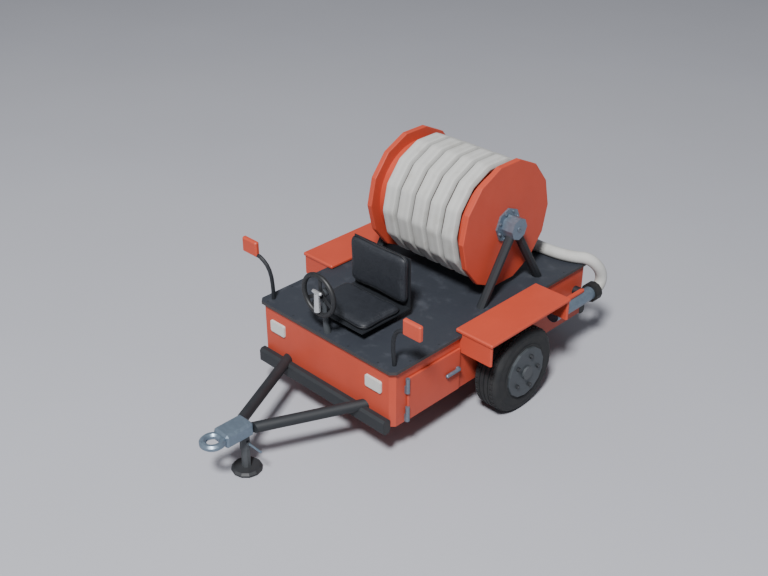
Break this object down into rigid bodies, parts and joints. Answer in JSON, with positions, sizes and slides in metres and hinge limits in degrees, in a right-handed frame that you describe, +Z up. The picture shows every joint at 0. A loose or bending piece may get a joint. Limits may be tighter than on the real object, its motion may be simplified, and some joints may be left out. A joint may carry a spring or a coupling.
{
  "type": "hose reel trailer",
  "caption": "Towed water trailer: steel locker box on two wheels with fenders, ring hitch, jack, operator seat and wheel, mirrors, and a large drum reel wound with wide hose.",
  "frame": {"origin": "on the ground at the middle of the length and width, the hose tail left out", "axes": "+Z up, -Y to the hitch ring (forward), +X to the door side (left)"},
  "size_m": [1.558, 2.7184, 1.4281],
  "materials": {
    "paint_orange": "gloss paint, worn at the edges",
    "paint_dark": "satin paint",
    "deck_board": "dark anti-slip film on birch plywood",
    "cast_hitch": "blue-grey zinc",
    "steel": "satin zinc",
    "grey_metal": "satin grey paint",
    "tyre_rubber": "matt rubber",
    "black_rubber": "matt rubber",
    "black_plastic": "matt",
    "black_metal": "satin black paint",
    "lamp_white": "gloss, white",
    "vinyl": "dark upholstery vinyl over foam",
    "hose": "off-white woven-jacket hose",
    "mirror_glass": "silvered"
  },
  "bodies": {
    "trailer": {"box_shell": "paint_orange", "deck_plate": "deck_board", "front_beam": "paint_dark", "rear_beam": "paint_dark", "beam_plugs": "black_plastic", "drawbar_tubes": "paint_dark", "coupler": "cast_hitch", "lunette_ring": "cast_hitch", "jack_sleeve": "grey_metal", "axle_beam": "grey_metal", "fender_left": "paint_orange", "fender_right": "paint_orange", "lamp_housings": "lamp_white", "lamp_lenses": "lamp_white", "hinge_knuckles": "steel", "seat_frame": "grey_metal", "seat_cushion": "vinyl", "seat_back": "vinyl", "steering_column": "grey_metal", "hub_pillar": "steel", "hub_barrel": "steel", "mirror_arms": "black_metal", "stand_left": "paint_dark", "stand_right": "paint_dark", "bearing_left": "steel", "bearing_right": "steel", "outlet_pipe": "cast_hitch", "feed_stub": "black_metal", "valve_bonnet": "steel", "hose_collar": "black_rubber", "hose_tail": "hose", "tail_coupling": "black_metal"},
    "jack": {"jack_leg": "grey_metal", "jack_foot": "black_metal"},
    "clamp_screw": {"jack_clamp_screw": "steel"},
    "wheel_left": {"hub_left": "grey_metal", "rim_left": "steel", "tyre_left": "tyre_rubber", "wheel_nuts_left": "black_metal"},
    "wheel_right": {"hub_right": "grey_metal", "rim_right": "steel", "tyre_right": "tyre_rubber", "wheel_nuts_right": "black_metal"},
    "reel": {"reel_axle": "steel", "flange_left": "paint_orange", "flange_right": "paint_orange", "hub_plates": "steel", "drum_core": "paint_orange", "hose_winding": "hose"},
    "steering": {"steering_sleeve": "steel", "steering_wheel": "black_plastic"},
    "door": {"side_door": "paint_orange", "door_knuckles": "steel"},
    "latch": {"door_handle": "steel"},
    "mirror_left": {"mirror_head_left": "paint_orange", "mirror_glass_left": "mirror_glass"},
    "mirror_right": {"mirror_head_right": "paint_orange", "mirror_glass_right": "mirror_glass"},
    "lever": {"valve_lever": "paint_orange"}
  },
  "joints": [
    {"name": "reel_spin", "type": "hinge", "parent": "trailer", "child": "reel", "pos_m": [0, 0.651, 1.045], "axis": [1, 0, 0], "continuous": true},
    {"name": "wheel_left_spin", "type": "hinge", "parent": "trailer", "child": "wheel_left", "pos_m": [0, 0.453, 0.272], "axis": [1, 0, 0], "continuous": true},
    {"name": "wheel_right_spin", "type": "hinge", "parent": "trailer", "child": "wheel_right", "pos_m": [0, 0.453, 0.272], "axis": [1, 0, 0], "continuous": true},
    {"name": "steering_turn", "type": "hinge", "parent": "trailer", "child": "steering", "pos_m": [0, -0.479, 0.883], "axis": [0, 1, 0], "range_deg": [-450, 450]},
    {"name": "door_swing", "type": "hinge", "parent": "trailer", "child": "door", "pos_m": [0.555, -0.359, 0.391], "axis": [0, 0, -1], "range_deg": [0, 110]},
    {"name": "latch_turn", "type": "hinge", "parent": "door", "child": "latch", "pos_m": [0.569, 0.05, 0.40228], "axis": [1, 0, 0], "range_deg": [0, 90]},
    {"name": "jack_slide", "type": "slide", "parent": "trailer", "child": "jack", "axis": [0, 0, 1], "range_m": [0, 0.105]},
    {"name": "clamp_turn", "type": "hinge", "parent": "trailer", "child": "clamp_screw", "pos_m": [0.06, -1.065, 0.197], "axis": [1, 0, 0], "range_deg": [0, 720]},
    {"name": "mirror_left_tilt", "type": "hinge", "parent": "trailer", "child": "mirror_left", "pos_m": [0.591, -0.433, 0.882], "axis": [1, 0, 0], "range_deg": [-25, 25]},
    {"name": "mirror_right_tilt", "type": "hinge", "parent": "trailer", "child": "mirror_right", "pos_m": [-0.591, -0.433, 0.882], "axis": [1, 0, 0], "range_deg": [-25, 25]},
    {"name": "valve_turn", "type": "hinge", "parent": "trailer", "child": "lever", "pos_m": [0.63, 0.971, 0.5], "axis": [0, 0, -1], "range_deg": [0, 90]}
  ]
}
